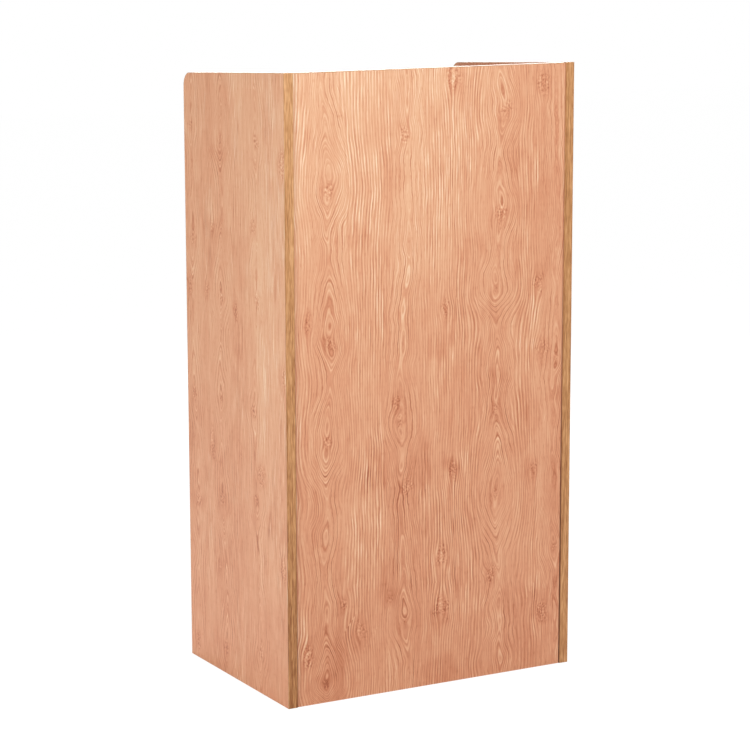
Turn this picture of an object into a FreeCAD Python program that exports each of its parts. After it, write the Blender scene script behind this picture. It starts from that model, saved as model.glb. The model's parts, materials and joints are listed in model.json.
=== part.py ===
import FreeCAD, Part
import math
import os
import re

import Sketcher

# Presentation lectern: an open-backed cabinet of 18 mm oak-print boards, standing on the floor.
# Row frame: origin at the centre of the footprint, +X to the audience's right, -Y towards the
# audience, +Z up. All lengths are in millimetres and all angles in degrees.

DIMENSIONS = {
    # carcass
    "overall_width": 600,
    "overall_depth": 408,
    "front_height": 1143,
    "rear_height": 1121,
    "board_thickness": 18,
    "band_thickness": 1,
    "corner_radius": 26,
    "front_recess": 2,
    "front_panel_height": 1142,
    "rear_setback": 14,
    # shelves
    "toe_kick_height": 62,
    "toe_kick_setback": 34,
    "fixed_shelf_height": 700,
    "shelf_side_gap": 2,
    "shelf_front_gap": 2,
    # reading top
    "reading_slope": 12,
    "reading_top_height": 1125,
    "reading_top_length": 360,
    "paper_stop_rise": 20,
    # cam locks, cam bolts and dowels
    "cam_diameter": 14.8,
    "cam_hole_diameter": 15,
    "cam_thickness": 12.3,
    "cam_hole_depth": 13.5,
    "cam_edge_distance": 34,
    "cam_slot_width": 7.4,
    "cam_recess_length": 8,
    "cam_recess_width": 1.6,
    "cam_recess_depth": 2.5,
    "bolt_hole_diameter": 8,
    "bolt_shaft_diameter": 7,
    "bolt_shaft_length": 26,
    "bolt_neck_diameter": 4,
    "bolt_neck_length": 5,
    "bolt_head_diameter": 6.6,
    "bolt_head_length": 2.8,
    "bolt_thread_diameter": 5,
    "bolt_thread_length": 11,
    "bolt_thread_hole_depth": 12,
    "dowel_diameter": 7.9,
    "dowel_hole_diameter": 8,
    "dowel_in_board": 20,
    "dowel_in_side": 10,
    "dowel_hole_allowance": 1,
    "dowel_chamfer": 1,
    # places of the fasteners along each board
    "front_cam_start": 130,
    "front_dowel_start": 290,
    "front_fastener_pitch": 320,
    "shelf_cam_inset": 50,
    "reading_cam_inset": 55,
    "toe_kick_cam_drop": 40,
    "toe_kick_dowel_drop": 14,
    # shelf pins and their rows of holes
    "pin_hole_diameter": 5,
    "pin_hole_depth": 10,
    "pin_diameter": 4.9,
    "pin_length_in_hole": 9,
    "pin_head_diameter": 7,
    "pin_head_length": 9,
    "pin_flat_height": 2.45,
    "pin_end_chamfer": 0.6,
    "pin_row_inset": 50,
    "pin_row_bottom": 309,
    "pin_row_pitch": 32,
    "pin_row_count": 7,
    "pin_clearance": 0.3,
    # paper stop screws and their caps
    "screw_spacing": 200,
    "screw_diameter": 4,
    "screw_length": 44,
    "screw_hole_depth": 28,
    "screw_point_length": 5,
    "screw_head_diameter": 9.6,
    "screw_head_length": 3,
    "screw_head_hole_diameter": 10,
    "screw_head_hole_depth": 3.2,
    "screw_socket_diameter": 3.4,
    "screw_socket_depth": 2.2,
    "cap_diameter": 12,
    "cap_rim_height": 0.6,
    "cap_height": 1.6,
    "cap_stem_diameter": 3.2,
    "cap_stem_length": 2,
}

WIDTH_INSIDE = "(overall_width - 2*board_thickness)"
FRONT_INNER_Y = "(-overall_depth/2 + front_recess + board_thickness)"
SHELF_LENGTH = "(overall_depth - front_recess - board_thickness - rear_setback)"
SIDE_SLOPE = "atan((front_height - rear_height) / overall_depth)"
BOTTOM_SHELF_HEIGHT = "(toe_kick_height + board_thickness)"
ADJUSTABLE_SHELF_HEIGHT = "(pin_row_bottom + pin_flat_height + pin_clearance + board_thickness)"
# The square-cut upper end of the sloping top meets the front panel with its lower corner.
READING_START = "(board_thickness * tan(reading_slope))"
STOP_HEIGHT = "(board_thickness + paper_stop_rise)"

doc = FreeCAD.newDocument("presentation_lectern")


def make_sheet():
    """Writes every driving dimension into the spreadsheet, one alias to a row."""
    sheet = doc.addObject("Spreadsheet::Sheet", "Sheet")
    for row, (alias, value) in enumerate(DIMENSIONS.items(), start=1):
        sheet.set(f"A{row}", alias)
        sheet.set(f"B{row}", str(value))
        sheet.setAlias(f"B{row}", alias)
    doc.recompute()


def formula(words):
    """Turns a formula in plain dimension names into one that reads the spreadsheet."""
    return re.sub(
        r"[a-z_]+",
        lambda name: f"Sheet.{name.group()}" if name.group() in DIMENSIONS else name.group(),
        words,
    )


def bind(target, prop, words):
    target.setExpression(prop, formula(words))


def place(target, across, depth, height, tilt="0"):
    """Binds a Placement: a turn about the X axis, then a move."""
    target.Placement = FreeCAD.Placement(
        FreeCAD.Vector(), FreeCAD.Rotation(FreeCAD.Vector(1, 0, 0), 1)
    )
    bind(target, "Placement.Rotation.Angle", tilt)
    bind(target, "Placement.Base.x", across)
    bind(target, "Placement.Base.y", depth)
    bind(target, "Placement.Base.z", height)


# ---------------------------------------------------------------- sketches and features


def new_body(label):
    body = doc.addObject("PartDesign::Body", label)
    body.Label = label
    return body


def sketch_on(body, name, plane, offset="0"):
    """An empty sketch on one of the body's own origin planes, moved along its normal."""
    sketch = body.newObject("Sketcher::SketchObject", name)
    support = next(item for item in body.Origin.OriginFeatures if item.Role == plane)
    sketch.AttachmentSupport = [(support, "")]
    sketch.MapMode = "FlatFace"
    bind(sketch, "AttachmentOffset.Base.z", offset)
    return sketch


def dimension(sketch, kind, *where, value, words):
    """Adds one dimension to the sketch and binds it to a formula."""
    index = sketch.addConstraint(Sketcher.Constraint(kind, *where, value))
    bind(sketch, f"Constraints[{index}]", words)


def add_polygon(sketch, corners):
    """A closed outline of straight lines; each corner is a pair of formulas."""
    count = len(corners)
    start = [
        FreeCAD.Vector(math.cos(2 * math.pi * k / count), math.sin(2 * math.pi * k / count), 0)
        for k in range(count)
    ]
    lines = [
        sketch.addGeometry(Part.LineSegment(start[k], start[(k + 1) % count]))
        for k in range(count)
    ]
    for k, line in enumerate(lines):
        sketch.addConstraint(Sketcher.Constraint("Coincident", line, 2, lines[(k + 1) % count], 1))
    for line, point, (across, up) in zip(lines, start, corners):
        dimension(sketch, "DistanceX", line, 1, value=point.x, words=across)
        dimension(sketch, "DistanceY", line, 1, value=point.y, words=up)


def add_rectangle(sketch, left, right, bottom, top):
    add_polygon(sketch, [(left, bottom), (right, bottom), (right, top), (left, top)])


def add_circle(sketch, across, up, diameter):
    circle = Part.Circle(FreeCAD.Vector(1, 1, 0), FreeCAD.Vector(0, 0, 1), 1)
    index = sketch.addGeometry(circle)
    dimension(sketch, "DistanceX", index, 3, value=1, words=across)
    dimension(sketch, "DistanceY", index, 3, value=1, words=up)
    dimension(sketch, "Diameter", index, value=2, words=diameter)


def pad(body, name, sketch, length):
    feature = body.newObject("PartDesign::Pad", name)
    feature.Profile = sketch
    bind(feature, "Length", length)
    sketch.Visibility = False
    return feature


def cut_into(body, name, sketch, depth, along_normal):
    """Pockets the sketch into the body and makes sure that material has gone."""
    doc.recompute()
    before = body.Shape.Volume
    feature = body.newObject("PartDesign::Pocket", name)
    feature.Profile = sketch
    feature.Reversed = along_normal
    bind(feature, "Length", depth)
    doc.recompute()
    if not body.Shape.Volume < before - 0.5:
        raise RuntimeError(f"{body.Label}: {name} cuts nothing")
    return feature


def drill(body, name, plane, centres, diameter, depth, offset="0", along_normal=False):
    """Blind round holes of one size, drilled from a plane at the given centres."""
    sketch = sketch_on(body, f"{name}_sketch", plane, offset)
    for across, up in centres:
        add_circle(sketch, across, up, diameter)
    return cut_into(body, name, sketch, depth, along_normal)


def revolve_profile(label, corners):
    """A turned piece: a closed half profile on or above the X axis, turned about X."""
    body = new_body(label)
    sketch = sketch_on(body, f"{label}_profile", "XY_Plane")
    add_polygon(sketch, corners)
    feature = body.newObject("PartDesign::Revolution", f"{label}_turning")
    feature.Profile = sketch
    feature.ReferenceAxis = (sketch, ["H_Axis"])
    feature.Angle = 360
    return body


# ---------------------------------------------------------------- boards between the sides


class Board:
    """A board that spans the cabinet from side to side.

    In its own frame a board runs along Y from 0 to length, its good face is at Z = 0 and
    its fastener face at Z = -board_thickness. It is then turned about X by tilt and moved.
    Cams and dowels are distances along the board.
    """

    def __init__(self, label, length, depth, height, tilt="0", cams=(), dowels=()):
        self.label = label
        self.length = length
        self.depth = depth
        self.height = height
        self.tilt = tilt
        self.cams = list(cams)
        self.dowels = list(dowels)

    def place(self, target):
        place(target, "0", self.depth, self.height, self.tilt)

    def on_side(self, along):
        """Where the board's middle layer meets the side panel, as (Y, Z) formulas."""
        depth = f"{self.depth} + ({along})*cos({self.tilt}) + board_thickness/2*sin({self.tilt})"
        height = f"{self.height} + ({along})*sin({self.tilt}) - board_thickness/2*cos({self.tilt})"
        return depth, height


FRONT_PANEL = Board(
    "front_panel",
    length="front_panel_height",
    depth="(-overall_depth/2 + front_recess)",
    height="0",
    tilt="90",
    cams=[f"front_cam_start + {k}*front_fastener_pitch" for k in range(4)],
    dowels=[f"front_dowel_start + {k}*front_fastener_pitch" for k in range(3)],
)
READING_TOP = Board(
    "reading_top",
    length="reading_top_length",
    depth=f"({FRONT_INNER_Y} + {READING_START}*cos(reading_slope))",
    height=f"(reading_top_height - {READING_START}*sin(reading_slope))",
    tilt="(-reading_slope)",
    cams=["reading_cam_inset", "reading_top_length - reading_cam_inset"],
    dowels=["reading_top_length/2"],
)
PAPER_STOP = Board(
    "paper_stop",
    length=STOP_HEIGHT,
    depth=(
        f"({FRONT_INNER_Y} + ({READING_START} + reading_top_length + board_thickness)"
        "*cos(reading_slope) + paper_stop_rise*sin(reading_slope))"
    ),
    height=(
        f"(reading_top_height - ({READING_START} + reading_top_length + board_thickness)"
        "*sin(reading_slope) + paper_stop_rise*cos(reading_slope))"
    ),
    tilt="(-90 - reading_slope)",
)
FIXED_SHELF = Board(
    "fixed_shelf",
    length=SHELF_LENGTH,
    depth=FRONT_INNER_Y,
    height="fixed_shelf_height",
    cams=["shelf_cam_inset", f"{SHELF_LENGTH} - shelf_cam_inset"],
    dowels=[f"{SHELF_LENGTH}/2"],
)
BOTTOM_SHELF = Board(
    "bottom_shelf",
    length=SHELF_LENGTH,
    depth=FRONT_INNER_Y,
    height=BOTTOM_SHELF_HEIGHT,
    cams=["shelf_cam_inset", f"{SHELF_LENGTH} - shelf_cam_inset - toe_kick_setback"],
    dowels=[f"{SHELF_LENGTH}/2"],
)
TOE_KICK = Board(
    "toe_kick",
    length="toe_kick_height",
    depth="(overall_depth/2 - toe_kick_setback)",
    height="toe_kick_height",
    tilt="(-90)",
    cams=["toe_kick_cam_drop"],
    dowels=["toe_kick_dowel_drop"],
)
JOINED_BOARDS = [FRONT_PANEL, READING_TOP, FIXED_SHELF, BOTTOM_SHELF, TOE_KICK]
ADJUSTABLE_SHELF = Board(
    "adjustable_shelf",
    length=f"({SHELF_LENGTH} - 2*shelf_front_gap)",
    depth=f"({FRONT_INNER_Y} + shelf_front_gap)",
    height=ADJUSTABLE_SHELF_HEIGHT,
)
PIN_ROWS = {
    "front": f"{ADJUSTABLE_SHELF.depth} + pin_row_inset",
    "rear": f"{ADJUSTABLE_SHELF.depth} + {ADJUSTABLE_SHELF.length} - pin_row_inset",
}


def make_board(board, start="0", end=None, width=WIDTH_INSIDE):
    """The bare board, from start to end along its length."""
    body = new_body(board.label)
    outline = sketch_on(body, f"{board.label}_outline", "XY_Plane")
    add_rectangle(outline, f"-{width}/2", f"{width}/2", start, end or board.length)
    pad(body, f"{board.label}_board", outline, "board_thickness").Reversed = True
    board.place(body)
    return body


def drill_for_fasteners(body, board):
    """Cam housings in the fastener face, and bolt and dowel holes in both end edges."""
    cam_across = f"({WIDTH_INSIDE}/2 - cam_edge_distance)"
    drill(
        body,
        f"{board.label}_cam_holes",
        "XY_Plane",
        [(f"{sign}{cam_across}", cam) for sign in ("-", "") for cam in board.cams],
        "cam_hole_diameter",
        "cam_hole_depth",
        offset="-board_thickness",
        along_normal=True,
    )
    for end, sign in (("left", "-"), ("right", "")):
        drill(
            body,
            f"{board.label}_{end}_bolt_holes",
            "YZ_Plane",
            [(cam, "-board_thickness/2") for cam in board.cams],
            "bolt_hole_diameter",
            "cam_edge_distance",
            offset=f"{sign}{WIDTH_INSIDE}/2",
            along_normal=end == "left",
        )
        drill(
            body,
            f"{board.label}_{end}_dowel_holes",
            "YZ_Plane",
            [(dowel, "-board_thickness/2") for dowel in board.dowels],
            "dowel_hole_diameter",
            "dowel_in_board + dowel_hole_allowance",
            offset=f"{sign}{WIDTH_INSIDE}/2",
            along_normal=end == "left",
        )


def make_band(board, label, start, end, width=WIDTH_INSIDE):
    """A strip of edge band glued over the end of a board, across its whole thickness."""
    body = new_body(label)
    outline = sketch_on(body, f"{label}_outline", "XY_Plane")
    add_rectangle(outline, f"-{width}/2", f"{width}/2", start, end)
    pad(body, f"{label}_strip", outline, "board_thickness").Reversed = True
    board.place(body)
    return body


def screw_places():
    """Across and along places of the paper stop's three screws."""
    along = "paper_stop_rise + board_thickness/2"
    return [(f"{k}*screw_spacing", along) for k in (-1, 0, 1)]


def make_front_panel():
    body = make_board(FRONT_PANEL, end="front_panel_height - band_thickness")
    drill_for_fasteners(body, FRONT_PANEL)
    top = make_band(
        FRONT_PANEL,
        "front_panel_top_band",
        "front_panel_height - band_thickness",
        "front_panel_height",
    )
    return [body, top]


def make_shelf(board):
    """A joined shelf with a band along the edge that shows at the open back."""
    core_end = f"{board.length} - band_thickness"
    body = make_board(board, end=core_end)
    drill_for_fasteners(body, board)
    return [body, make_band(board, f"{board.label}_rear_band", core_end, board.length)]


def make_reading_top():
    body = make_board(READING_TOP)
    drill_for_fasteners(body, READING_TOP)
    drill(
        body,
        "reading_top_screw_holes",
        "XZ_Plane",
        [(across, "-board_thickness/2") for across, _ in screw_places()],
        "screw_diameter",
        "screw_hole_depth",
        offset="-reading_top_length",
        along_normal=True,
    )
    return [body]


def make_paper_stop():
    body = make_board(PAPER_STOP, start="band_thickness")
    drill(
        body,
        "paper_stop_screw_holes",
        "XY_Plane",
        screw_places(),
        "screw_diameter",
        "board_thickness",
    )
    drill(
        body,
        "paper_stop_head_holes",
        "XY_Plane",
        screw_places(),
        "screw_head_hole_diameter",
        "screw_head_hole_depth",
    )
    return [body, make_band(PAPER_STOP, "paper_stop_top_band", "0", "band_thickness")]


def make_toe_kick():
    body = make_board(TOE_KICK)
    drill_for_fasteners(body, TOE_KICK)
    return [body]


def make_adjustable_shelf():
    width = f"({WIDTH_INSIDE} - 2*shelf_side_gap)"
    core_end = f"{ADJUSTABLE_SHELF.length} - band_thickness"
    body = make_board(ADJUSTABLE_SHELF, end=core_end, width=width)
    band = make_band(
        ADJUSTABLE_SHELF,
        "adjustable_shelf_rear_band",
        core_end,
        ADJUSTABLE_SHELF.length,
        width=width,
    )
    return [body, band]


# ---------------------------------------------------------------- side panels


def side_edge_height(depth):
    """Height of a side panel's bare top edge, under its band, at a place along Y."""
    return (
        f"front_height - ({depth} + overall_depth/2)*tan({SIDE_SLOPE})"
        f" - band_thickness/cos({SIDE_SLOPE})"
    )


def make_side_panel(label, is_left):
    """A side panel: outline with a rounded upper rear corner, and holes in its inner face."""
    body = new_body(label)
    front = "(-overall_depth/2 + band_thickness)"
    rear = "(overall_depth/2 - band_thickness)"
    outline = sketch_on(body, f"{label}_outline", "YZ_Plane")
    add_polygon(
        outline,
        [
            (front, "0"),
            (rear, "0"),
            (rear, side_edge_height(rear)),
            (front, side_edge_height(front)),
        ],
    )
    board = pad(body, f"{label}_board", outline, "board_thickness")
    doc.recompute()
    corner = max(
        (k for k, edge in enumerate(board.Shape.Edges, start=1) if is_upper_rear_corner(edge)),
        default=0,
    )
    rounding = body.newObject("PartDesign::Fillet", f"{label}_rounding")
    rounding.Base = (board, [f"Edge{corner}"])
    bind(rounding, "Radius", "corner_radius - band_thickness")

    inner_face = "board_thickness" if is_left else "0"
    into = {"offset": inner_face, "along_normal": not is_left}
    bolts = [board.on_side(cam) for board in JOINED_BOARDS for cam in board.cams]
    dowels = [board.on_side(dowel) for board in JOINED_BOARDS for dowel in board.dowels]
    drill(
        body,
        f"{label}_bolt_holes",
        "YZ_Plane",
        bolts,
        "bolt_thread_diameter",
        "bolt_thread_hole_depth",
        **into,
    )
    drill(
        body,
        f"{label}_dowel_holes",
        "YZ_Plane",
        dowels,
        "dowel_hole_diameter",
        "dowel_in_side + dowel_hole_allowance",
        **into,
    )
    first_pins = drill(
        body,
        f"{label}_lowest_pin_holes",
        "YZ_Plane",
        [(row, "pin_row_bottom") for row in PIN_ROWS.values()],
        "pin_hole_diameter",
        "pin_hole_depth",
        **into,
    )
    rows = body.newObject("PartDesign::LinearPattern", f"{label}_pin_rows")
    rows.Originals = [first_pins]
    rows.Direction = (first_pins.Profile[0], ["V_Axis"])
    bind(rows, "Length", "pin_row_pitch * (pin_row_count - 1)")
    bind(rows, "Occurrences", "pin_row_count")
    body.Tip = rows
    place(body, "-overall_width/2" if is_left else f"{WIDTH_INSIDE}/2", "0", "0")
    return body


def is_upper_rear_corner(edge):
    """True for the edge along X at the pad's upper rear corner."""
    box = edge.BoundBox
    along_x = box.XLength > box.YLength + box.ZLength
    return along_x and box.YMin > 0 and box.ZMin > DIMENSIONS["front_height"] / 2


def make_front_band(label, across):
    """The band on a side panel's front edge, up to the underside of the top band."""
    body = new_body(label)
    front = "(-overall_depth/2)"
    back = "(-overall_depth/2 + band_thickness)"
    outline = sketch_on(body, f"{label}_outline", "YZ_Plane")
    add_polygon(
        outline,
        [
            (front, "0"),
            (back, "0"),
            (back, side_edge_height(back)),
            (front, side_edge_height(front)),
        ],
    )
    pad(body, f"{label}_strip", outline, "board_thickness")
    place(body, across, "0", "0")
    return body


def make_top_rear_band(label, across):
    """One strip of band over the top edge, round the corner and down the rear edge."""
    depth = DIMENSIONS["overall_depth"]
    high = DIMENSIONS["front_height"]
    radius = DIMENSIONS["corner_radius"]
    inner_radius = radius - DIMENSIONS["band_thickness"]
    slope = math.atan((high - DIMENSIONS["rear_height"]) / depth)
    normal = FreeCAD.Vector(math.sin(slope), math.cos(slope), 0)
    across_edge = FreeCAD.Vector(1, 0, 0)
    centre = FreeCAD.Vector(
        depth / 2 - radius,
        high - (depth - radius) * math.tan(slope) - radius / math.cos(slope),
        0,
    )
    upper_front = FreeCAD.Vector(-depth / 2, high, 0)
    lower_front = upper_front - FreeCAD.Vector(0, (radius - inner_radius) / math.cos(slope), 0)
    floor_outer = FreeCAD.Vector(depth / 2, 0, 0)
    floor_inner = FreeCAD.Vector(depth / 2 - (radius - inner_radius), 0, 0)

    def corner_arc(size):
        circle = Part.Circle(centre, FreeCAD.Vector(0, 0, 1), size)
        return Part.ArcOfCircle(circle, 0, math.pi / 2 - slope)

    body = new_body(label)
    sketch = sketch_on(body, f"{label}_outline", "YZ_Plane")
    rear_out = sketch.addGeometry(Part.LineSegment(floor_outer, centre + across_edge * radius))
    arc_out = sketch.addGeometry(corner_arc(radius))
    top_out = sketch.addGeometry(Part.LineSegment(centre + normal * radius, upper_front))
    front_end = sketch.addGeometry(Part.LineSegment(upper_front, lower_front))
    top_in = sketch.addGeometry(Part.LineSegment(lower_front, centre + normal * inner_radius))
    arc_in = sketch.addGeometry(corner_arc(inner_radius))
    rear_in = sketch.addGeometry(
        Part.LineSegment(centre + across_edge * inner_radius, floor_inner)
    )
    floor_end = sketch.addGeometry(Part.LineSegment(floor_inner, floor_outer))

    for rule in (
        ("Tangent", rear_out, 2, arc_out, 1),
        ("Tangent", arc_out, 2, top_out, 1),
        ("Coincident", top_out, 2, front_end, 1),
        ("Coincident", front_end, 2, top_in, 1),
        ("Tangent", top_in, 2, arc_in, 2),
        ("Tangent", arc_in, 1, rear_in, 1),
        ("Coincident", rear_in, 2, floor_end, 1),
        ("Coincident", floor_end, 2, rear_out, 1),
        ("Coincident", arc_out, 3, arc_in, 3),
        ("Parallel", top_out, top_in),
        ("Vertical", rear_out),
        ("Vertical", front_end),
        ("Vertical", rear_in),
        ("Horizontal", floor_end),
    ):
        sketch.addConstraint(Sketcher.Constraint(*rule))
    rise = math.radians(180) - slope
    dimension(sketch, "Angle", top_out, value=rise, words=f"180 deg - {SIDE_SLOPE}")
    dimension(sketch, "Radius", arc_out, value=radius, words="corner_radius")
    dimension(
        sketch, "Radius", arc_in, value=inner_radius, words="corner_radius - band_thickness"
    )
    dimension(sketch, "DistanceX", rear_out, 1, value=depth / 2, words="overall_depth/2")
    dimension(sketch, "DistanceY", rear_out, 1, value=0, words="0")
    dimension(sketch, "DistanceX", front_end, 1, value=-depth / 2, words="-overall_depth/2")
    dimension(sketch, "DistanceY", front_end, 1, value=high, words="front_height")
    pad(body, f"{label}_strip", sketch, "board_thickness")
    place(body, across, "0", "0")
    return body


def make_sides():
    pieces = []
    for side, across in (("left", "-overall_width/2"), ("right", f"{WIDTH_INSIDE}/2")):
        pieces.append(make_side_panel(f"{side}_side_panel", side == "left"))
        pieces.append(make_front_band(f"{side}_side_front_band", across))
        pieces.append(make_top_rear_band(f"{side}_side_top_rear_band", across))
    return pieces


# ---------------------------------------------------------------- fasteners


def make_cam_master():
    """A cam lock: a disc with a cross recess in its face and a slot that takes the bolt.

    Its face is at Z = 0, its body above that, and its slot opens towards +X.
    """
    body = new_body("cam_master")
    disc = sketch_on(body, "cam_disc", "XY_Plane")
    add_circle(disc, "0", "0", "cam_diameter")
    pad(body, "cam_body", disc, "cam_thickness")
    slot = sketch_on(body, "cam_slot_outline", "YZ_Plane")
    add_rectangle(
        slot,
        "-cam_slot_width/2",
        "cam_slot_width/2",
        "board_thickness/2 - cam_slot_width/2",
        "cam_thickness + 1",
    )
    cut_into(body, "cam_slot", slot, "cam_diameter", along_normal=True)
    for name, half_x, half_y in (
        ("cam_recess_long", "cam_recess_length/2", "cam_recess_width/2"),
        ("cam_recess_cross", "cam_recess_width/2", "cam_recess_length/2"),
    ):
        recess = sketch_on(body, f"{name}_outline", "XY_Plane")
        add_rectangle(recess, f"-{half_x}", half_x, f"-{half_y}", half_y)
        cut_into(body, name, recess, "cam_recess_depth", along_normal=True)
    return body


def make_bolt_master():
    """A cam bolt along X: thread in the side panel at +X, head in the cam at -X."""
    neck_start = "-(bolt_shaft_length + bolt_neck_length)"
    head_start = "-(bolt_shaft_length + bolt_neck_length + bolt_head_length)"
    return revolve_profile(
        "cam_bolt_master",
        [
            (head_start, "0"),
            ("bolt_thread_length", "0"),
            ("bolt_thread_length", "bolt_thread_diameter/2 - 0.8"),
            ("bolt_thread_length - 1", "bolt_thread_diameter/2"),
            ("0", "bolt_thread_diameter/2"),
            ("0", "bolt_shaft_diameter/2"),
            ("-bolt_shaft_length", "bolt_shaft_diameter/2"),
            ("-bolt_shaft_length", "bolt_neck_diameter/2"),
            (neck_start, "bolt_neck_diameter/2"),
            (neck_start, "bolt_head_diameter/2"),
            (head_start, "bolt_head_diameter/2"),
        ],
    )


def make_dowel_master():
    """A wooden dowel along X, chamfered at both ends."""
    radius = "dowel_diameter/2"
    return revolve_profile(
        "dowel_master",
        [
            ("-dowel_in_board", "0"),
            ("dowel_in_side", "0"),
            ("dowel_in_side", f"{radius} - dowel_chamfer"),
            ("dowel_in_side - dowel_chamfer", radius),
            ("-dowel_in_board + dowel_chamfer", radius),
            ("-dowel_in_board", f"{radius} - dowel_chamfer"),
        ],
    )


def make_screw_master():
    """A screw along X: head face at X = 0, shank and point towards -X."""
    shank = "screw_diameter/2"
    socket = "screw_socket_diameter/2"
    head = "screw_head_diameter/2"
    return revolve_profile(
        "screw_master",
        [
            ("-screw_length", "0"),
            ("-screw_socket_depth", "0"),
            ("-screw_socket_depth", socket),
            ("0", socket),
            ("0", head),
            ("-screw_head_length", head),
            ("-screw_head_length", shank),
            ("-screw_length + screw_point_length", shank),
        ],
    )


def make_cap_master():
    """A push-in screw cap along X: stem in the screw's socket, low dome outside."""
    stem = "cap_stem_diameter/2"
    rim = "cap_diameter/2"
    return revolve_profile(
        "cap_master",
        [
            ("-cap_stem_length", "0"),
            ("cap_height", "0"),
            ("cap_height", f"{rim} - 2"),
            ("cap_rim_height", rim),
            ("0", rim),
            ("0", stem),
            ("-cap_stem_length", stem),
        ],
    )


def group_of(label, board, master, places, axis, turns):
    """One node of identical fasteners, in the frame of the board that carries them."""
    links = []
    for number, ((across, along, height), turn) in enumerate(zip(places, turns), start=1):
        link = doc.addObject("App::Link", f"{label}_{number}")
        link.LinkedObject = master
        link.LinkTransform = True
        link.Placement = FreeCAD.Placement(FreeCAD.Vector(), FreeCAD.Rotation(axis, turn))
        bind(link, "Placement.Base.x", across)
        bind(link, "Placement.Base.y", along)
        bind(link, "Placement.Base.z", height)
        links.append(link)
    group = doc.addObject("Part::Compound", label)
    group.Label = label
    group.Links = links
    board.place(group)
    return group


def end_places(board_places, across, height):
    """The same places at the left and the right end of a board, and their turns about Z."""
    places = [(f"{sign}{across}", along, height) for sign in ("-", "") for along in board_places]
    turns = [180] * len(board_places) + [0] * len(board_places)
    return places, turns


def make_fasteners():
    """Cams, cam bolts and dowels for every joined board."""
    upright = FreeCAD.Vector(0, 0, 1)
    masters = {
        "cam_locks": make_cam_master(),
        "cam_bolts": make_bolt_master(),
        "dowels": make_dowel_master(),
    }
    doc.recompute()
    board_end = f"{WIDTH_INSIDE}/2"
    cam_across = f"({WIDTH_INSIDE}/2 - cam_edge_distance)"
    pieces = []
    for board in JOINED_BOARDS:
        for kind, along, across, height in (
            ("cam_locks", board.cams, cam_across, "-board_thickness"),
            ("cam_bolts", board.cams, board_end, "-board_thickness/2"),
            ("dowels", board.dowels, board_end, "-board_thickness/2"),
        ):
            places, turns = end_places(along, across, height)
            label = f"{board.label}_{kind}"
            pieces.append(group_of(label, board, masters[kind], places, upright, turns))
    return pieces


def make_stop_fixings():
    """The paper stop's screws, driven in from its rear face, and their caps."""
    along_board = FreeCAD.Vector(0, 1, 0)
    places = [(across, along, "0") for across, along in screw_places()]
    heads = [(across, along, "-screw_head_hole_depth + screw_head_length")
             for across, along in screw_places()]
    turns = [-90] * len(places)
    screws = make_screw_master()
    caps = make_cap_master()
    doc.recompute()
    return [
        group_of("paper_stop_screws", PAPER_STOP, screws, heads, along_board, turns),
        group_of("paper_stop_screw_caps", PAPER_STOP, caps, places, along_board, turns),
    ]


def make_shelf_pin(label, row, is_left):
    """A shelf pin along X: shank in the side panel's hole, head under the shelf."""
    shank = "pin_diameter/2"
    head = "pin_head_diameter/2"
    body = revolve_profile(
        label,
        [
            ("-pin_length_in_hole", "0"),
            ("pin_head_length", "0"),
            ("pin_head_length", f"{head} - pin_end_chamfer"),
            ("pin_head_length - pin_end_chamfer", head),
            ("0", head),
            ("0", shank),
            ("-pin_length_in_hole + pin_end_chamfer", shank),
            ("-pin_length_in_hole", f"{shank} - pin_end_chamfer"),
        ],
    )
    flat = sketch_on(body, f"{label}_flat_outline", "XY_Plane", offset=head)
    add_rectangle(flat, "0", "pin_head_length + 1", f"-{head} - 1", f"{head} + 1")
    cut_into(body, f"{label}_flat", flat, f"{head} - pin_flat_height", along_normal=False)
    across = f"-{WIDTH_INSIDE}/2" if is_left else f"{WIDTH_INSIDE}/2"
    turn = 0 if is_left else 180
    body.Placement = FreeCAD.Placement(
        FreeCAD.Vector(), FreeCAD.Rotation(FreeCAD.Vector(0, 0, 1), turn)
    )
    bind(body, "Placement.Base.x", across)
    bind(body, "Placement.Base.y", row)
    bind(body, "Placement.Base.z", "pin_row_bottom")
    return body


def make_shelf_pins():
    return [
        make_shelf_pin(f"{side}_{row}_shelf_pin", place_words, side == "left")
        for side in ("left", "right")
        for row, place_words in PIN_ROWS.items()
    ]


# ---------------------------------------------------------------- document


def check(pieces):
    """Stops the script if any object failed or any piece is empty or invalid."""
    for item in doc.Objects:
        if "Invalid" in item.State or "Error" in item.State:
            raise RuntimeError(f"{item.Label}: {item.State}")
    for piece in pieces:
        if piece.Shape.isNull() or not piece.Shape.isValid() or not piece.Shape.Solids:
            raise RuntimeError(f"{piece.Label}: shape is not valid")


def main():
    make_sheet()
    pieces = [
        *make_sides(),
        *make_front_panel(),
        *make_reading_top(),
        *make_paper_stop(),
        *make_shelf(FIXED_SHELF),
        *make_adjustable_shelf(),
        *make_shelf(BOTTOM_SHELF),
        *make_toe_kick(),
        *make_fasteners(),
        *make_stop_fixings(),
        *make_shelf_pins(),
    ]
    doc.recompute()
    check(pieces)
    os.makedirs("parts", exist_ok=True)
    for piece in pieces:
        piece.Shape.exportStep(os.path.join("parts", f"{piece.Label}.step"))
        print(piece.Label, len(piece.Shape.Solids), round(piece.Shape.Volume, 1))


main()
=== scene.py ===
import json
import math
import random

import bpy
from mathutils import Matrix, Vector


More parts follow.
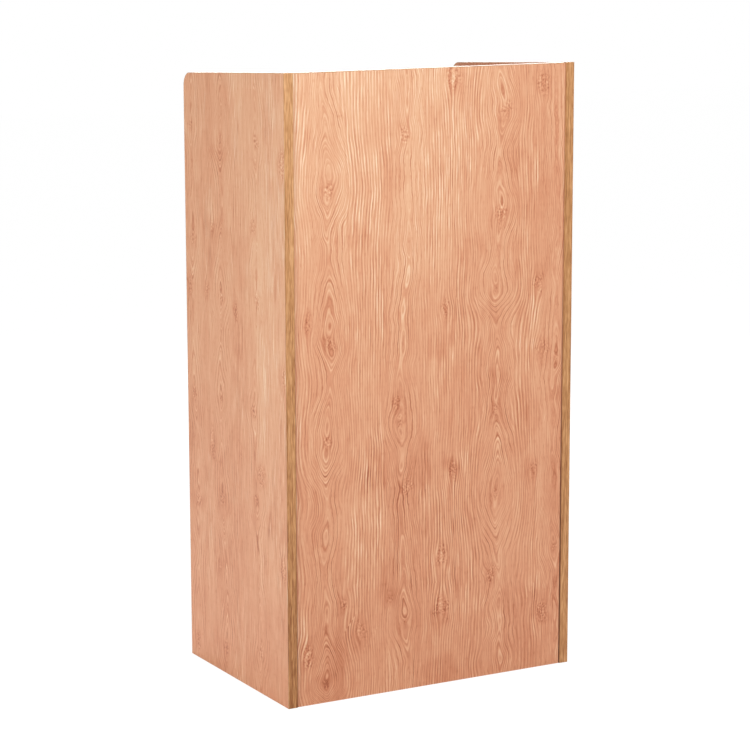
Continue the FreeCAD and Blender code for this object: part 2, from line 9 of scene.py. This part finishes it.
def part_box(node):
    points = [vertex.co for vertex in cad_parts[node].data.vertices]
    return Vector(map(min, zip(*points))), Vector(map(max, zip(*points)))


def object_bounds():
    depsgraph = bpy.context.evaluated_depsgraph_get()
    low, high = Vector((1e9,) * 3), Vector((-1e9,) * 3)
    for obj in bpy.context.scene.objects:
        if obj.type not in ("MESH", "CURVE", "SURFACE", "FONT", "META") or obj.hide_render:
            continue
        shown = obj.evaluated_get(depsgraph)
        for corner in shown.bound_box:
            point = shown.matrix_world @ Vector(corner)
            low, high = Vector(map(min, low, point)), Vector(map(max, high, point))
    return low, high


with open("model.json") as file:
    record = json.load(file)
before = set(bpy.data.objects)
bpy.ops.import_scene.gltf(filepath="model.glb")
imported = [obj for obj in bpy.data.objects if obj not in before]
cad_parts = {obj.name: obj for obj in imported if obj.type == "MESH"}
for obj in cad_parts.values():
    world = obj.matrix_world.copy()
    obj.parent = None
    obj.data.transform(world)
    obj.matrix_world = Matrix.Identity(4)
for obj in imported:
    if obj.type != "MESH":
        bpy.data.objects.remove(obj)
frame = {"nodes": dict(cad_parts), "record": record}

CAD_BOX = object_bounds()
NODES = frame["nodes"]
MM = 0.001
READING_NORMAL = next(
    mount["axis"] for mount in frame["record"]["mounts"] if mount["name"] == "reading_surface"
)


def colour(red, green, blue):
    """A linear colour from the usual 0 to 255 display values."""
    def linear(value):
        share = value / 255
        return share / 12.92 if share <= 0.04045 else ((share + 0.055) / 1.055) ** 2.4
    return (linear(red), linear(green), linear(blue), 1.0)


# ---------------------------------------------------------------- shader arithmetic


class Signal:
    """A value in a shader tree. Arithmetic on signals adds the math nodes."""

    def __init__(self, tree, socket):
        self.tree = tree
        self.socket = socket

    def __add__(self, other):
        return calculate("ADD", self, other)

    __radd__ = __add__

    def __mul__(self, other):
        return calculate("MULTIPLY", self, other)

    __rmul__ = __mul__

    def __sub__(self, other):
        return calculate("SUBTRACT", self, other)

    def __rsub__(self, other):
        return calculate("SUBTRACT", other, self)

    def __truediv__(self, other):
        return calculate("DIVIDE", self, other)


def feed(tree, socket, value):
    if isinstance(value, Signal):
        tree.links.new(value.socket, socket)
    else:
        socket.default_value = value


def calculate(operation, *values):
    """A maths node fed with the values, at least one of them a signal."""
    tree = next(value.tree for value in values if isinstance(value, Signal))
    node = tree.nodes.new("ShaderNodeMath")
    node.operation = operation
    for socket, value in zip(node.inputs, values):
        feed(tree, socket, value)
    return Signal(tree, node.outputs[0])


def smooth_step(value, start, end):
    """0 before start, 1 after end, and an even curve between them."""
    node = value.tree.nodes.new("ShaderNodeMapRange")
    node.interpolation_type = "SMOOTHSTEP"
    feed(value.tree, node.inputs["Value"], value)
    node.inputs["From Min"].default_value = start
    node.inputs["From Max"].default_value = end
    return Signal(value.tree, node.outputs["Result"])


def point(tree, x, y, z=0.0):
    """A place for a texture to be read at."""
    node = tree.nodes.new("ShaderNodeCombineXYZ")
    for socket, value in zip(node.inputs, (x, y, z)):
        feed(tree, socket, value)
    return Signal(tree, node.outputs[0])


def noise(where, scale=1.0, detail=2.0, roughness=0.5):
    """Smooth noise from 0 to 1, with its mean near 0.5."""
    node = where.tree.nodes.new("ShaderNodeTexNoise")
    feed(where.tree, node.inputs["Vector"], where)
    node.inputs["Scale"].default_value = scale
    node.inputs["Detail"].default_value = detail
    node.inputs["Roughness"].default_value = roughness
    return Signal(where.tree, node.outputs[0])


def stretched(across, along, columns, rows, seed, detail=1.0):
    """Noise with this many lumps per metre across and along a board."""
    return noise(point(across.tree, across * columns, along * rows, seed), detail=detail)


def mix_colours(factor, first, second):
    tree = factor.tree
    node = tree.nodes.new("ShaderNodeMix")
    node.data_type = "RGBA"
    node.clamp_factor = True
    feed(tree, node.inputs["Factor"], factor)
    for socket, value in ((node.inputs[6], first), (node.inputs[7], second)):
        feed(tree, socket, value)
    return Signal(tree, node.outputs[2])


def colour_ramp(factor, stops):
    tree = factor.tree
    node = tree.nodes.new("ShaderNodeValToRGB")
    elements = node.color_ramp.elements
    while len(elements) < len(stops):
        elements.new(0.5)
    for element, (position, tone) in zip(elements, stops):
        element.position = position
        element.color = tone
    feed(tree, node.inputs["Fac"], factor)
    return Signal(tree, node.outputs["Color"])


def new_material(name):
    material = bpy.data.materials.new(name)
    material.use_nodes = True
    tree = material.node_tree
    shader = tree.nodes["Principled BSDF"]
    return material, tree, shader


def place_axes(tree):
    """The piece's own X, Y and Z in metres, which at rest are the row frame's."""
    texture = tree.nodes.new("ShaderNodeTexCoord")
    split = tree.nodes.new("ShaderNodeSeparateXYZ")
    tree.links.new(texture.outputs["Object"], split.inputs[0])
    return [Signal(tree, split.outputs[k]) for k in range(3)]


def add_bump(tree, shader, height, distance):
    """Tilts the surface as if height 1 stood this distance proud."""
    node = tree.nodes.new("ShaderNodeBump")
    node.inputs["Strength"].default_value = 1.0
    node.inputs["Distance"].default_value = distance
    feed(tree, node.inputs["Height"], height)
    tree.links.new(node.outputs["Normal"], shader.inputs["Normal"])


# ---------------------------------------------------------------- oak print

OAK_STOPS = [
    (0.0, colour(158, 84, 56)),
    (0.28, colour(201, 129, 94)),
    (0.5, colour(222, 158, 122)),
    (0.74, colour(236, 187, 149)),
    (1.0, colour(251, 221, 189)),
]
RING_PITCH = 9.0 * MM
LINE_PITCH = 4.9 * MM
CURVED_LINE_RATE = 1.3  # lines near a heart are this much closer together
HEART_DRIFT = 0.065  # metres that a column wanders from side to side
HEART_ROUNDING = 4 * MM
EYE_LEAN = 0.35  # 0 is an eye that is the same above and below
COLUMN_EDGE, COLUMN_FULL = 0.046, 0.024  # metres to the side of a heart
BOW_REACH = 24  # per metre: how soon lines straighten away from a heart
KNOT_COLUMNS, KNOT_ROWS = 10, 6  # cells per metre, each with at most one knot
KNOT_PUSH = 0.75  # how far lines bow round a knot, as a share of their distance from it
EYE_KNOT = 0.19  # a knot's radius in an eye, as a share of the eye's length
PLAIN_TONE = 0.474
SKIN = 0.35 * MM  # printed laminate on each wide face, with chipboard behind it
SEAM_SHADOW = colour(72, 34, 20)
BOARD_BEVEL = 0.35 * MM
BAND_BEVEL = 0.30 * MM


class Heart:
    """A column of arched grain, with eyes along it where the rings close.

    An eye is its place along the board and its length. The arches point away from it.
    """

    def __init__(self, across, depth, eyes, seed):
        self.across = across
        self.depth = depth
        self.eyes = eyes
        self.seed = seed

    def offset(self, across, along):
        """How far a place is to the side of the column, and how deep the heart lies there."""
        tree = across.tree
        drift = noise(point(tree, along * 3.2, self.seed, 7.5), detail=3.0, roughness=0.65) - 0.5
        swell = noise(point(tree, along * 9, self.seed, 0.5), detail=1.0)
        depth = (swell * 0.9 + 0.5) * self.depth
        for place, length in self.eyes:
            up = along - place
            lean = calculate("ABSOLUTE", up) * (-EYE_LEAN / length)
            leaning = calculate("MULTIPLY_ADD", up, 1 / length, lean)
            depth = depth * (1.0 - calculate("EXPONENT", leaning * leaning * -1.0))
        return across - self.across + drift * HEART_DRIFT, depth


class PalePatch:
    """A wide part of a board whose colour is made paler."""

    def __init__(self, across, along, width, height, lift):
        self.across = across
        self.along = along
        self.width = width
        self.height = height
        self.lift = lift


def wander(across, along, seed):
    """The place across the board, moved a little so that lines drawn at it are never straight."""
    slow = stretched(across, along, 7, 2, seed) - 0.5
    quick = stretched(across, along, 30, 8, seed + 3.1) - 0.5
    ripple = stretched(across, along, 110, 36, seed + 3.7) - 0.5
    return across + slow * (26 * MM) + quick * (5 * MM) + ripple * (2 * MM)


def ring_field(columns):
    """Distance through the rings in metres, and 1 in a heart's column and 0 outside it."""
    distance = None
    inside = None
    for aside, depth in columns:
        here = calculate("SQRT", aside * aside + HEART_ROUNDING ** 2) + depth
        near = smooth_step(calculate("ABSOLUTE", aside), COLUMN_EDGE, COLUMN_FULL)
        distance = here if distance is None else calculate("MINIMUM", distance, here)
        inside = near if inside is None else calculate("MAXIMUM", inside, near)
    return distance, inside


def bowed(across, columns):
    """The place across the board, where lines bow outwards round the hearts."""
    place = across
    for aside, depth in columns:
        fade = calculate("EXPONENT", calculate("ABSOLUTE", aside) * -BOW_REACH)
        place = place + calculate("SIGN", aside) * depth * fade
    return place


def knots_at(across, along, hearts, columns, seed):
    """1 at the middle of a knot and 0 away from it, and how far the knot pushes lines aside."""
    tree = across.tree
    shifted = across * KNOT_COLUMNS + seed * 1.7
    cells = tree.nodes.new("ShaderNodeTexVoronoi")
    cells.voronoi_dimensions = "2D"
    cells.inputs["Scale"].default_value = 1.0
    cells.inputs["Randomness"].default_value = 0.9
    feed(tree, cells.inputs["Vector"], point(tree, shifted, along * KNOT_ROWS))
    chance = tree.nodes.new("ShaderNodeSeparateColor")
    tree.links.new(cells.outputs["Color"], chance.inputs[0])
    centre = tree.nodes.new("ShaderNodeSeparateXYZ")
    tree.links.new(cells.outputs["Position"], centre.inputs[0])
    size = Signal(tree, chance.outputs[1]) * 0.10 + 0.12
    reach = Signal(tree, cells.outputs["Distance"]) / size
    present = smooth_step(Signal(tree, chance.outputs[0]), 0.48, 0.66)
    closeness = calculate("EXPONENT", 0.0 - reach * reach) * present
    push = (shifted - Signal(tree, centre.outputs[0])) * closeness * (-KNOT_PUSH / KNOT_COLUMNS)
    for heart, (aside, depth) in zip(hearts, columns):
        for place, length in heart.eyes:
            up = (along - place) * 0.7
            spread = (aside * aside + up * up) * (-1 / (EYE_KNOT * length) ** 2)
            closeness = calculate("MAXIMUM", closeness, calculate("EXPONENT", spread))
    return closeness, push


def fine_lines(place, along, seed):
    """Thin pale and dark lines, one line pitch apart, from about -1 to 1."""
    wave = calculate("SINE", place * (2 * math.pi / LINE_PITCH))
    threads = stretched(place, along, 640, 11, seed + 1.0, detail=0.0) - 0.5
    strands = stretched(place, along, 860, 30, seed + 1.5, detail=0.0) - 0.5
    lines = wave * 0.55 + threads * 1.3 + strands * 1.7
    return calculate("MAXIMUM", lines, lines * 0.7)


def dark_rings(across, along, distance, in_column, seed):
    """The dark part of each ring in a column, broken where the print fades."""
    jagged = stretched(across, along, 150, 110, seed + 8.4) - 0.5
    ring = calculate("FRACT", (distance + jagged * (3 * MM)) / RING_PITCH)
    late_wood = smooth_step(ring, 0.56, 0.78) - smooth_step(ring, 0.82, 0.98)
    fade = stretched(across, along, 22, 9, seed + 8.0, detail=2.0)
    return (late_wood - 0.20) * in_column * smooth_step(fade, 0.40, 0.60)


def all_lines(across, along, straight_place, distance, in_column, seed):
    """Lines that run straight between the hearts and follow the rings near them."""
    straight = fine_lines(straight_place, along, seed)
    curved = fine_lines(distance * CURVED_LINE_RATE, along, seed + 0.7)
    lines = straight * (1.0 - in_column) + curved * in_column * 0.65
    broken = smooth_step(stretched(across, along, 60, 34, seed + 2.5), 0.30, 0.62)
    zone = smooth_step(stretched(across, along, 14, 5, seed + 2.8), 0.36, 0.62)
    return lines * (broken * 0.4 + zone * 0.5 + 0.3)


def oak_colour(across, along, hearts, seed, paleness):
    """Colour and height of the oak print at a place on a board's face."""
    moved = wander(across, along, seed)
    columns = [heart.offset(moved, along) for heart in hearts]
    closeness, push = knots_at(moved, along, hearts, columns, seed)
    distance, in_column = ring_field(columns)
    uneven = stretched(across, along, 34, 22, seed + 9.0) - 0.5
    distance = distance + uneven * (9 * MM) + closeness * (6 * MM)
    rings = dark_rings(across, along, distance, in_column, seed)
    lines = all_lines(across, along, bowed(moved, columns) + push, distance, in_column, seed)

    # soft shades
    cloud = stretched(across, along, 9, 6, seed + 5.5, detail=4.0) - 0.5
    smear = stretched(across, along, 90, 22, seed + 5.9, detail=2.0) - 0.5
    strip = stretched(moved, along, 17, 1.4, seed + 7.2) - 0.5
    streak = stretched(moved, along, 120, 3.5, seed + 7.6) - 0.5
    blush = smooth_step(stretched(across, along, 13, 9, seed + 6.5, detail=3.0), 0.54, 0.70)

    # knots, with ragged edges and specks inside
    ragged = stretched(across, along, 50, 42, seed + 6.3, detail=3.0) - 0.5
    core = smooth_step(closeness + ragged * 1.8, 0.45, 0.95)
    halo = smooth_step(closeness + ragged * 1.2, 0.15, 0.60)
    specks = (stretched(across, along, 300, 210, seed + 6.0, detail=2.0) - 0.5) * core

    pores = smooth_step(stretched(across, along, 700, 90, seed + 4.0, detail=0.0), 0.60, 0.74)
    tone = (
        paleness
        - rings * 0.25
        + lines * 0.35
        + cloud * 0.15
        + strip * 0.21
        + streak * 0.17
        + smear * 0.15
        - pores * 0.08
        - specks * 1.3
        - core * 0.05
        - halo * 0.06
        - blush * 0.08
    )
    emboss = stretched(across, along, 420, 9, seed + 4.5)
    height = emboss * 0.6 - pores * 0.7
    return colour_ramp(tone, OAK_STOPS), height


def chipboard_colour(x, y, z):
    """Pressed wood chips, seen in drilled holes and on bare edges."""
    tree = x.tree
    where = point(tree, x, y, z)
    chips = tree.nodes.new("ShaderNodeTexVoronoi")
    chips.inputs["Scale"].default_value = 520
    feed(tree, chips.inputs["Vector"], where)
    chip_tone = tree.nodes.new("ShaderNodeSeparateColor")
    tree.links.new(chips.outputs["Color"], chip_tone.inputs[0])
    grit = noise(where, scale=1800, detail=2.0)
    tone = Signal(tree, chip_tone.outputs[0]) * 0.6 + grit * 0.5
    return colour_ramp(
        tone,
        [(0.15, colour(120, 86, 56)), (0.55, colour(178, 140, 98)), (0.95, colour(214, 184, 142))],
    )


def seam_shade(x, y, z):
    """Shade in the two upright seams beside the front panel, strongest at the foot; 0 elsewhere."""
    low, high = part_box("front_panel")
    half_width = (high.x - low.x) / 2
    aside = calculate("ABSOLUTE", x) - half_width
    ahead = y - low.y
    distance = calculate("SQRT", aside * aside + ahead * ahead)
    foot = 1.0 - smooth_step(z, 0, high.z)
    return smooth_step(distance, 2.6 * MM, 0.8 * MM) * (foot * 0.65 + 0.25)


def oak_board(name, axes_of, thickness_range, hearts, seed, pale_patches=()):
    """Melamine board: oak print on the two wide faces, chipboard everywhere else.

    axes_of turns the piece's X, Y, Z into (across, along, through) the board.
    """
    material, tree, shader = new_material(name)
    x, y, z = place_axes(tree)
    across, along, through = axes_of(x, y, z)
    low, high = thickness_range
    paleness = PLAIN_TONE
    for patch in pale_patches:
        side = (across - patch.across) / patch.width
        up = (along - patch.along) / patch.height
        paleness = paleness + calculate("EXPONENT", 0.0 - (side * side + up * up)) * patch.lift
    shown, height = oak_colour(across, along, hearts, seed, paleness)
    depth = calculate("ABSOLUTE", through - (low + high) / 2)
    core = 1.0 - smooth_step(depth, (high - low) / 2 - SKIN * 1.2, (high - low) / 2 - SKIN)
    base = mix_colours(core, shown, chipboard_colour(x, y, z))
    base = mix_colours(seam_shade(x, y, z), base, SEAM_SHADOW)
    feed(tree, shader.inputs["Base Color"], base)
    feed(tree, shader.inputs["Roughness"], core * 0.4 + 0.44 - height * 0.08)
    shader.inputs["Specular IOR Level"].default_value = 0.32
    add_bump(tree, shader, height, 0.06 * MM)
    return material


def edge_band(name, length_axis, seed):
    """Golden oak-print plastic strip, finely streaked along its length."""
    material, tree, shader = new_material(name)
    x, y, z = place_axes(tree)
    axes = [x, y, z]
    along = axes.pop(length_axis)
    first, second = axes
    lines = noise(point(tree, first * 420, second * 420, along * 7 + seed), detail=2.0, roughness=0.7)
    dashes = noise(point(tree, first * 620, second * 620, along * 60 + seed), detail=1.0)
    drift = noise(point(tree, first * 40, second * 40, along * 14 + seed), detail=3.0)
    tone = 0.5 + (lines - 0.5) * 1.1 + (dashes - 0.5) * 0.9 + (drift - 0.5) * 0.3
    # Painted light and shade: the left upright band is lighter towards the top and darker towards the
    # foot.
    if length_axis == 2:
        on_left = smooth_step(x, 0.1, -0.1)
        tone = tone + smooth_step(z, 0, CAD_BOX[1].z) * on_left * 0.30 - on_left * 0.14 - 0.04
    shown = colour_ramp(
        tone,
        [(0.0, colour(138, 80, 40)), (0.5, colour(196, 140, 90)), (1.0, colour(236, 184, 134))],
    )
    # Painted shade: each band is darker along its outer edge, at the lectern's corners.
    outer_edge_shade = smooth_step(calculate("ABSOLUTE", x), CAD_BOX[1].x - 1.4 * MM, CAD_BOX[1].x)
    shown = mix_colours(outer_edge_shade * 0.2, shown, colour(96, 58, 36))
    shown = mix_colours(seam_shade(x, y, z), shown, SEAM_SHADOW)
    feed(tree, shader.inputs["Base Color"], shown)
    feed(tree, shader.inputs["Roughness"], 0.46 - (lines - 0.5) * 0.2)
    shader.inputs["Specular IOR Level"].default_value = 0.35
    add_bump(tree, shader, lines + dashes * 0.5, 0.04 * MM)
    return material


# ---------------------------------------------------------------- metal, dowels and plastic


def plated_metal(name, dark, light, roughness, grain_scale):
    material, tree, shader = new_material(name)
    x, y, z = place_axes(tree)
    where = point(tree, x, y, z)
    cloud = noise(where, scale=160, detail=3.0)
    grain = noise(where, scale=grain_scale, detail=2.0)
    feed(tree, shader.inputs["Base Color"], colour_ramp(cloud, [(0.3, dark), (0.7, light)]))
    shader.inputs["Metallic"].default_value = 1.0
    feed(tree, shader.inputs["Roughness"], roughness + (cloud - 0.5) * 0.25 + (grain - 0.5) * 0.15)
    add_bump(tree, shader, grain, 0.02 * MM)
    return material


def beech(name):
    material, tree, shader = new_material(name)
    x, y, z = place_axes(tree)
    fibre = noise(point(tree, x * 120, y * 1400, z * 1400), detail=3.0)
    fleck = smooth_step(noise(point(tree, x * 500, y * 2600, z * 2600), detail=1.0), 0.6, 0.72)
    tone = fibre - fleck * 0.3
    shown = colour_ramp(tone, [(0.25, colour(176, 134, 92)), (0.75, colour(222, 188, 144))])
    feed(tree, shader.inputs["Base Color"], shown)
    shader.inputs["Roughness"].default_value = 0.7
    add_bump(tree, shader, fibre, 0.05 * MM)
    return material


def moulded_plastic(name, dark, light):
    material, tree, shader = new_material(name)
    x, y, z = place_axes(tree)
    where = point(tree, x, y, z)
    cloud = noise(where, scale=260, detail=2.0)
    stipple = noise(where, scale=2600, detail=1.0)
    feed(tree, shader.inputs["Base Color"], colour_ramp(cloud, [(0.3, dark), (0.7, light)]))
    feed(tree, shader.inputs["Roughness"], 0.42 + (cloud - 0.5) * 0.15)
    add_bump(tree, shader, stipple, 0.03 * MM)
    return material


# ---------------------------------------------------------------- dressing the CAD nodes


def dress(node, material, bevel=None):
    """Gives a CAD node its material and, if asked, softly rounded edges."""
    piece = NODES[node]
    piece.data.materials.clear()
    piece.data.materials.append(material)
    if bevel:
        rounding = piece.modifiers.new("rounded_edges", "BEVEL")
        rounding.width = bevel
        rounding.segments = 2
        rounding.limit_method = "ANGLE"
        rounding.angle_limit = math.radians(40)
        rounding.harden_normals = True


# Each turns a board's X, Y, Z into across, along and through its grain.


def standing_front(x, y, z):
    return x, z, y


def standing_side(x, y, z):
    return y, z, x


def lying(x, y, z):
    return y, x, z


def on_edge(x, y, z):
    return z, x, y


def sloping(x, y, z):
    """Across, along and through the reading top, which is turned about X."""
    _, lean_y, lean_z = READING_NORMAL
    return y * lean_z - z * lean_y, x, y * lean_y + z * lean_z


def along_slope(x, y, z):
    """The paper stop's axes: its length is X and its thickness runs down the slope."""
    up_slope, length, out = sloping(x, y, z)
    return out, length, up_slope


def face_range(node, axis):
    low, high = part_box(node)
    return low[axis], high[axis]


def turned_range(node, axes_of, pick):
    """Lowest and highest value of one turned coordinate over a node's own corners."""
    values = [axes_of(*vertex.co)[pick] for vertex in NODES[node].data.vertices]
    return min(values), max(values)


def scattered_eyes(start, end, seed):
    """Eyes at uneven steps along a column."""
    chance = random.Random(seed)
    eyes = []
    place = start + chance.uniform(0.02, 0.15)
    while place < end:
        eyes.append((place, chance.uniform(0.05, 0.09)))
        place += chance.uniform(0.16, 0.34)
    return eyes


def dress_board(node, label, axes_of, thickness_range, hearts, seed, pale_patches=()):
    name = f"oak_print_{label}"
    board = oak_board(name, axes_of, thickness_range, hearts, seed, pale_patches)
    dress(node, board, BOARD_BEVEL)


def dress_front_panel(width, height):
    hearts = [
        Heart(-0.365 * width, 36 * MM, [
            (0.03 * height, 0.05),
            (0.42 * height, 0.07),
            (0.58 * height, 0.075),
            (0.82 * height, 0.07),
        ], 1.3),
        Heart(-0.09 * width, 16 * MM, [(0.11 * height, 0.05), (0.44 * height, 0.05)], 7.7),
        Heart(0.235 * width, 42 * MM, [
            (0.30 * height, 0.08),
            (0.643 * height, 0.05),
            (0.76 * height, 0.10),
            (0.93 * height, 0.08),
        ], 4.1),
        Heart(0.44 * width, 12 * MM, [(0.20 * height, 0.04), (0.52 * height, 0.04)], 9.4),
    ]
    # Painted light: the front panel is made paler at the top left, where the light from above and to
    # the left falls.
    painted_light_top = PalePatch(-0.2 * width, height, 0.60 * width, 0.36 * height, 0.21)
    thickness = face_range("front_panel", 1)
    dress_board("front_panel", "front", standing_front, thickness, hearts, 2.0, [painted_light_top])


def dress_side_panels(depth, height):
    patches = [
        PalePatch(0, 0.95 * height, depth * 2, 0.62 * height, 0.12),
        PalePatch(-0.33 * depth, 0.58 * height, 0.16 * depth, 0.30 * height, 0.13),
    ]
    for side, seed in (("left", 11), ("right", 17)):
        hearts = [
            Heart(-0.22 * depth, 22 * MM, scattered_eyes(0, height, seed + 1), seed + 1.0),
            Heart(0.12 * depth, 34 * MM, scattered_eyes(0, height, seed + 2), seed + 2.0),
            Heart(0.42 * depth, 22 * MM, scattered_eyes(0, height, seed + 3), seed + 3.0),
        ]
        node = f"{side}_side_panel"
        thickness = face_range(node, 0)
        dress_board(node, f"{side}_side", standing_side, thickness, hearts, seed, patches)


def dress_inner_boards(width):
    """Shelves, reading top, paper stop and toe kick, whose grain runs left to right."""
    ends = (-width / 2, width / 2)
    for seed, node in enumerate(("fixed_shelf", "adjustable_shelf", "bottom_shelf"), start=23):
        hearts = [
            Heart(-0.06, 34 * MM, scattered_eyes(*ends, seed), seed + 1.5),
            Heart(0.11, 22 * MM, scattered_eyes(*ends, seed + 5), seed + 2.5),
        ]
        dress_board(node, node, lying, face_range(node, 2), hearts, seed)
    hearts = [
        Heart(-0.30, 34 * MM, scattered_eyes(*ends, 31), 31.5),
        Heart(-0.16, 22 * MM, scattered_eyes(*ends, 32), 32.5),
    ]
    thickness = turned_range("reading_top", sloping, 2)
    dress_board("reading_top", "reading_top", sloping, thickness, hearts, 31.0)
    hearts = [Heart(1.06, 20 * MM, scattered_eyes(*ends, 36), 36.0)]
    thickness = turned_range("paper_stop", along_slope, 2)
    dress_board("paper_stop", "paper_stop", along_slope, thickness, hearts, 36.0)
    hearts = [Heart(0.03, 20 * MM, scattered_eyes(*ends, 41), 41.0)]
    dress_board("toe_kick", "toe_kick", on_edge, face_range("toe_kick", 1), hearts, 41.0)


def dress_bands():
    upright = edge_band("oak_band_upright", 2, 3.0)
    level = edge_band("oak_band_level", 0, 5.0)
    for node in NODES:
        if node.endswith("band"):
            is_side = node.startswith(("left_side", "right_side"))
            dress(node, upright if is_side else level, BAND_BEVEL)


def dress_fittings():
    zinc = plated_metal("die_cast_zinc", colour(150, 150, 152), colour(190, 190, 192), 0.42, 1500)
    steel = plated_metal("zinc_plate", colour(176, 178, 182), colour(214, 216, 220), 0.3, 2200)
    nickel = plated_metal("nickel_plate", colour(186, 182, 172), colour(222, 218, 208), 0.2, 2600)
    wood = beech("beech")
    cap = moulded_plastic("cap_plastic", colour(166, 112, 70), colour(190, 136, 90))
    rules = [
        ("cam_locks", zinc, "cast_zinc", 0.15 * MM),
        ("cam_bolts", steel, "zinc_plated_steel", 0.15 * MM),
        ("stop_screws", steel, "zinc_plated_steel", 0.15 * MM),
        ("shelf_pin", nickel, "nickel_plated_steel", 0.10 * MM),
        ("dowels", wood, "beech_dowel", None),
        ("screw_caps", cap, "screw_cap_plastic", 0.15 * MM),
    ]
    for node in NODES:
        for ending, material, slot, bevel in rules:
            if node.endswith(ending):
                dress(node, material, bevel)


# ---------------------------------------------------------------- stage, light and camera


def make_floor():
    """A pale floor that reaches far enough to fill the view."""
    reach = 12.0
    below = CAD_BOX[0].z - 0.2 * MM
    mesh = bpy.data.meshes.new("floor")
    corners = [
        (-reach, -reach, below),
        (reach, -reach, below),
        (reach, reach, below),
        (-reach, reach, below),
    ]
    mesh.from_pydata(corners, [], [(0, 1, 2, 3)])
    floor = bpy.data.objects.new("floor", mesh)
    bpy.context.scene.collection.objects.link(floor)
    material, tree, shader = new_material("pale_floor")
    shader.inputs["Base Color"].default_value = (0.86, 0.86, 0.86, 1)
    shader.inputs["Roughness"].default_value = 0.8
    glow = tree.nodes.new("ShaderNodeEmission")
    glow.inputs["Strength"].default_value = 1.08
    mix = tree.nodes.new("ShaderNodeMixShader")
    seen = tree.nodes.new("ShaderNodeLightPath")
    share = Signal(tree, seen.outputs["Is Camera Ray"]) * 0.9
    feed(tree, mix.inputs[0], share)
    tree.links.new(shader.outputs[0], mix.inputs[1])
    tree.links.new(glow.outputs[0], mix.inputs[2])
    tree.links.new(mix.outputs[0], tree.nodes["Material Output"].inputs["Surface"])
    mesh.materials.append(material)


def make_world():
    """White to the camera, softer as a light."""
    world = bpy.data.worlds.new("studio")
    world.use_nodes = True
    bpy.context.scene.world = world
    tree = world.node_tree
    background = tree.nodes["Background"]
    background.inputs["Color"].default_value = (1, 1, 1, 1)
    seen = tree.nodes.new("ShaderNodeLightPath")
    strength = Signal(tree, seen.outputs["Is Camera Ray"]) * 0.71 + 0.29
    feed(tree, background.inputs["Strength"], strength)


def make_lamp(name, place, target, size, power):
    lamp = bpy.data.lights.new(name, "AREA")
    lamp.shape = "SQUARE"
    lamp.size = size
    lamp.energy = power
    item = bpy.data.objects.new(name, lamp)
    item.location = place
    item.rotation_euler = (Vector(target) - Vector(place)).to_track_quat("-Z", "Y").to_euler()
    bpy.context.scene.collection.objects.link(item)


def make_lights():
    middle = (CAD_BOX[0] + CAD_BOX[1]) / 2
    make_lamp("key", (-0.1, -2.6, 2.2), middle + Vector((0, 0, 0.4)), 1.2, 46)
    make_lamp("left_fill", (-4.2, -1.1, 1.15), middle + Vector((0, 0, 0.4)), 0.8, 80)
    make_lamp("back_fill", (1.4, 2.8, 1.7), middle, 2.2, 108)
    make_lamp("right_fill", (4.2, 0.5, 1.2), middle, 0.8, 34)


def make_camera():
    """A long lens in front of the lectern, well to its left and higher than its top."""
    height = CAD_BOX[1].z
    corner = Vector((CAD_BOX[0].x, CAD_BOX[0].y, 0))
    yaw = math.radians(29.18)
    pitch = math.radians(10.44)
    roll = math.radians(-0.12)
    forward = Vector(
        (math.sin(yaw) * math.cos(pitch), math.cos(yaw) * math.cos(pitch), -math.sin(pitch))
    )
    level_right = Vector((math.cos(yaw), -math.sin(yaw), 0))
    level_up = level_right.cross(forward)
    right = math.cos(roll) * level_right + math.sin(roll) * level_up
    up = math.cos(roll) * level_up - math.sin(roll) * level_right
    camera = bpy.data.cameras.new("camera")
    camera.sensor_width = 36
    camera.lens = 124.85
    eye = bpy.data.objects.new("camera", camera)
    in_heights = Vector((-1.803, -3.510, 1.263))  # from the near lower corner of the lectern
    place = corner + height * in_heights
    turn = Matrix((right, up, -forward)).transposed().to_4x4()
    eye.matrix_world = Matrix.Translation(place) @ turn
    bpy.context.scene.collection.objects.link(eye)
    bpy.context.scene.camera = eye


width, depth, height = CAD_BOX[1] - CAD_BOX[0]
dress_front_panel(width, height)
dress_side_panels(depth, height)
dress_inner_boards(width)
dress_bands()
dress_fittings()
make_floor()
make_world()
make_lights()
make_camera()
bpy.context.scene.view_settings.view_transform = "Standard"
